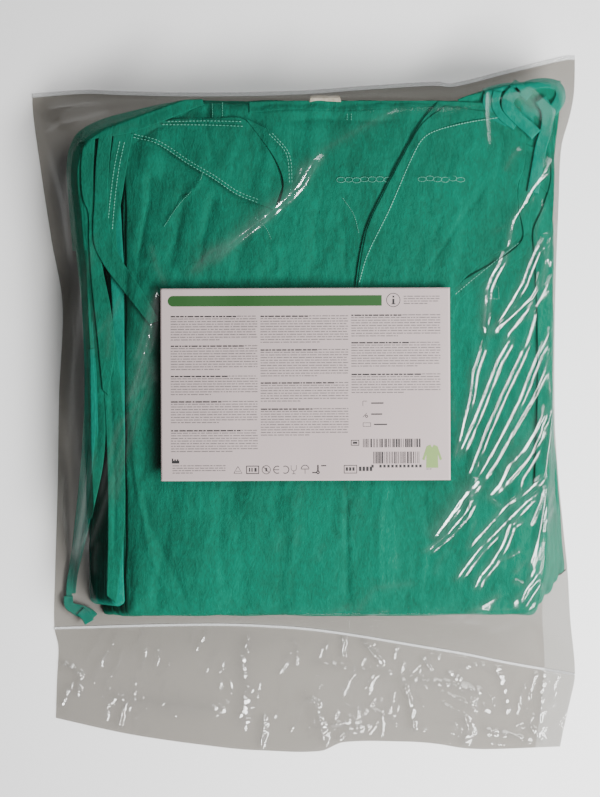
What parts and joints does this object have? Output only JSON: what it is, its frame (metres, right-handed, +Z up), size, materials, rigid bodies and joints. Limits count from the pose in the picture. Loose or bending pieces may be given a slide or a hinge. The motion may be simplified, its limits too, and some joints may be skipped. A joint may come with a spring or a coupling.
{
  "type": "patient gown pack",
  "caption": "Sealed clear film bag lying flat, holding a folded stack of green nonwoven patient gowns with ties, a paper label on the film and a loose film tail.",
  "frame": {"origin": "middle of the bag's outline, on the surface the pack lies on", "axes": "+Z up out of the labelled side, +Y towards the closed top end of the bag, +X to the right as the label reads"},
  "size_m": [0.4019, 0.5146, 0.0506],
  "materials": {
    "gown_fabric": "soft point-bonded nonwoven",
    "tie_fabric": "folded nonwoven tape",
    "label_paper": "matte self-adhesive paper, printed",
    "clear_film": "clear glossy polyethylene film"
  },
  "bodies": {
    "bag": {"bag_back_panel": "clear_film", "bag_front_panel": "clear_film", "bag_top_weld": "clear_film", "bag_mouth_weld": "clear_film", "bag_mouth_skirt": "clear_film", "label": "label_paper"},
    "tail": {"tail_back_panel": "clear_film", "tail_front_panel": "clear_film"},
    "gown_01": {"gown_01_body": "gown_fabric", "gown_01_waist_tie": "tie_fabric", "gown_01_neck_tie": "tie_fabric"},
    "gown_02": {"gown_02_body": "gown_fabric", "gown_02_waist_tie": "tie_fabric", "gown_02_neck_tie": "tie_fabric"},
    "gown_03": {"gown_03_body": "gown_fabric", "gown_03_waist_tie": "tie_fabric", "gown_03_neck_tie": "tie_fabric"},
    "gown_04": {"gown_04_body": "gown_fabric", "gown_04_waist_tie": "tie_fabric", "gown_04_neck_tie": "tie_fabric"},
    "gown_05": {"gown_05_body": "gown_fabric", "gown_05_waist_tie": "tie_fabric", "gown_05_neck_tie": "tie_fabric"},
    "gown_06": {"gown_06_body": "gown_fabric", "gown_06_waist_tie": "tie_fabric", "gown_06_neck_tie": "tie_fabric"},
    "gown_07": {"gown_07_body": "gown_fabric", "gown_07_waist_tie": "tie_fabric", "gown_07_neck_tie": "tie_fabric"},
    "gown_08": {"gown_08_body": "gown_fabric", "gown_08_waist_tie": "tie_fabric", "gown_08_neck_tie": "tie_fabric"},
    "gown_09": {"gown_09_body": "gown_fabric", "gown_09_waist_tie": "tie_fabric", "gown_09_neck_tie": "tie_fabric"},
    "gown_10": {"gown_10_body": "gown_fabric", "gown_10_waist_tie": "tie_fabric", "gown_10_neck_tie": "tie_fabric", "gown_10_left_sleeve": "gown_fabric", "gown_10_left_cuff": "gown_fabric", "gown_10_right_sleeve": "gown_fabric", "gown_10_right_cuff": "gown_fabric", "gown_10_opening_hem": "tie_fabric", "gown_10_neck_binding": "tie_fabric"}
  },
  "joints": [
    {"name": "gown_01_shift", "type": "slide", "parent": "bag", "child": "gown_01", "axis": [1, 0, 0], "range_m": [-0.005, 0]},
    {"name": "gown_02_shift", "type": "slide", "parent": "bag", "child": "gown_02", "axis": [1, 0, 0], "range_m": [-0.005, 0]},
    {"name": "gown_03_shift", "type": "slide", "parent": "bag", "child": "gown_03", "axis": [1, 0, 0], "range_m": [-0.005, 0]},
    {"name": "gown_04_shift", "type": "slide", "parent": "bag", "child": "gown_04", "axis": [1, 0, 0], "range_m": [-0.005, 0]},
    {"name": "gown_05_shift", "type": "slide", "parent": "bag", "child": "gown_05", "axis": [1, 0, 0], "range_m": [-0.005, 0]},
    {"name": "gown_06_shift", "type": "slide", "parent": "bag", "child": "gown_06", "axis": [1, 0, 0], "range_m": [-0.005, 0]},
    {"name": "gown_07_shift", "type": "slide", "parent": "bag", "child": "gown_07", "axis": [1, 0, 0], "range_m": [-0.005, 0]},
    {"name": "gown_08_shift", "type": "slide", "parent": "bag", "child": "gown_08", "axis": [1, 0, 0], "range_m": [-0.005, 0]},
    {"name": "gown_09_shift", "type": "slide", "parent": "bag", "child": "gown_09", "axis": [1, 0, 0], "range_m": [-0.005, 0]},
    {"name": "gown_10_shift", "type": "slide", "parent": "bag", "child": "gown_10", "axis": [1, 0, 0], "range_m": [-0.005, 0]},
    {"name": "tail_fold", "type": "hinge", "parent": "bag", "child": "tail", "pos_m": [0, -0.18876, 0.0015], "axis": [-0.9958, 0.091, 0], "range_deg": [0, 90]}
  ]
}
